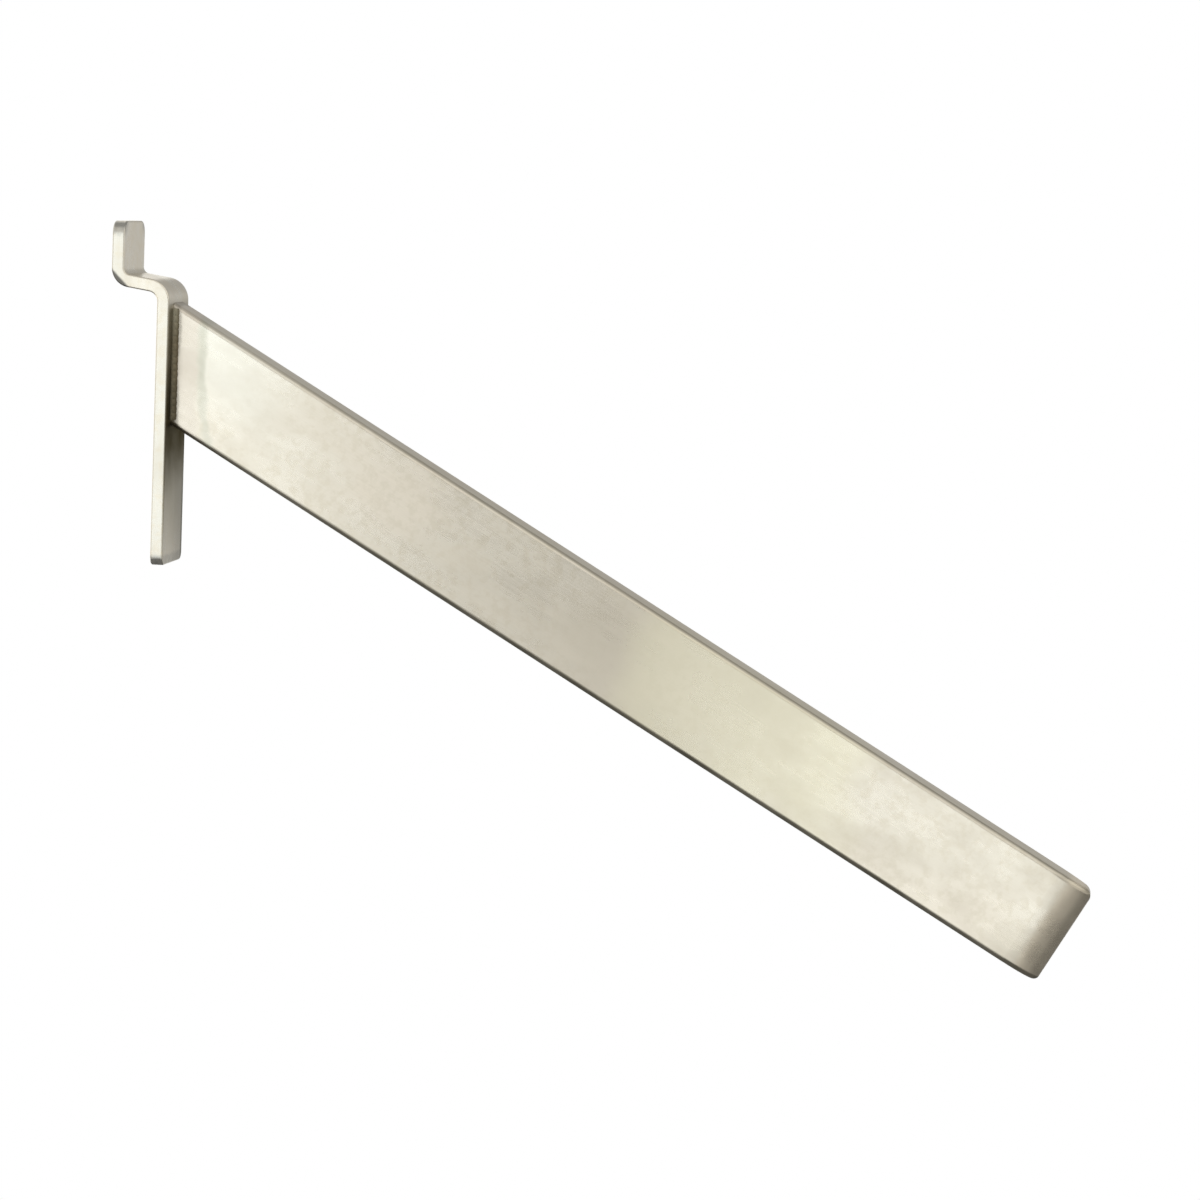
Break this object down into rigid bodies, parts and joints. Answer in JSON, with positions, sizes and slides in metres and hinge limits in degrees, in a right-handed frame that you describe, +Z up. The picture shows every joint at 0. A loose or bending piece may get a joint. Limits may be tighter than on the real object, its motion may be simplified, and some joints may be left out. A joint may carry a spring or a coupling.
{
  "type": "slatwall shelf bracket",
  "caption": "Sloping rectangular tube arm with a rounded nose, welded to a bent flat-bar hanger that hooks into a slatwall groove.",
  "frame": {"origin": "on the panel's face, where the line of the sloping run's underside meets it, on the bracket's middle plane", "axes": "+X points out of the wall along the arm's reach, +Y across the bracket, +Z up; the back of the leg lies in the plane X = 0"},
  "size_m": [0.2335, 0.02, 0.1671],
  "materials": {
    "hanger": "satin nickel with a warm cast and a fine grain along the bar; browner and darker at the cut ends",
    "tube": "satin nickel with a warm cast and a soft drawn grain along the tube; faint heat tint beside the joint",
    "weld": "heat-browned weld metal with small ripples under the plating"
  },
  "bodies": {
    "root": {"hanger_bar": "hanger", "arm_tube": "tube", "left_weld": "weld", "right_weld": "weld"}
  },
  "joints": []
}
